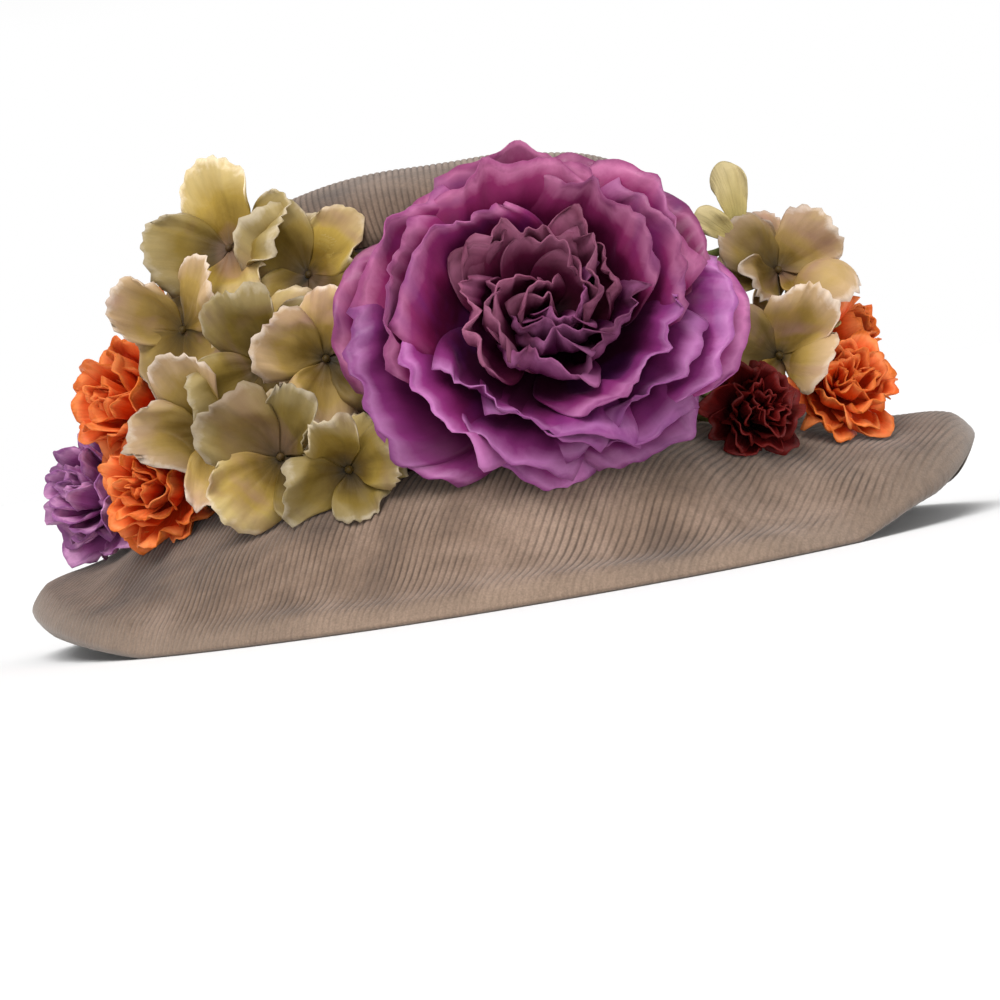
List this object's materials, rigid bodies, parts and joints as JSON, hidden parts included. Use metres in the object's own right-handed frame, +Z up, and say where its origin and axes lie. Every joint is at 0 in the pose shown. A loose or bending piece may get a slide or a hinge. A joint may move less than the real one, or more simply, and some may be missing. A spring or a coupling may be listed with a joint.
{
  "type": "corduroy hat with silk flowers",
  "caption": "Soft corduroy brimmed hat with a domed crown and a wreath of silk flowers, a large rose at the front.",
  "frame": {"origin": "on the floor under the middle of the hat's bounding box, the hat resting on its brim", "axes": "+Z up through the crown, -Y the wearer's front where the rose is, +X the wearer's left"},
  "size_m": [0.313, 0.304, 0.1417],
  "materials": {
    "corduroy": "matt, fine ribbed pile",
    "rose_silk": "soft sheen",
    "rose_heart_silk": "soft sheen",
    "hydrangea_olive": "matt",
    "hydrangea_sand": "matt",
    "orange_silk": "matt",
    "violet_silk": "soft sheen",
    "red_silk": "matt",
    "green_silk": "matt"
  },
  "bodies": {
    "root": {"brim": "corduroy", "crown_side": "corduroy", "crown_tip": "corduroy", "rose_heart": "rose_heart_silk", "rose_petals_back": "rose_silk", "rose_petals_outer": "rose_silk", "rose_petals_middle": "rose_silk", "rose_petals_inner": "rose_silk", "hydrangea_left_top": "hydrangea_olive", "hydrangea_left_high": "hydrangea_olive", "hydrangea_left_side": "hydrangea_sand", "hydrangea_left_middle": "hydrangea_olive", "hydrangea_left_inner": "hydrangea_sand", "hydrangea_left_low": "hydrangea_sand", "hydrangea_left_front": "hydrangea_olive", "hydrangea_left_under": "hydrangea_olive", "hydrangea_right_high": "hydrangea_sand", "hydrangea_right_low": "hydrangea_sand", "orange_bloom_low": "orange_silk", "orange_bloom_high": "orange_silk", "orange_bloom_back": "orange_silk", "orange_bloom_right": "orange_silk", "orange_bud_upper": "orange_silk", "orange_bud_lower": "orange_silk", "violet_bloom": "violet_silk", "red_bloom": "red_silk", "leaf": "green_silk"}
  },
  "joints": []
}
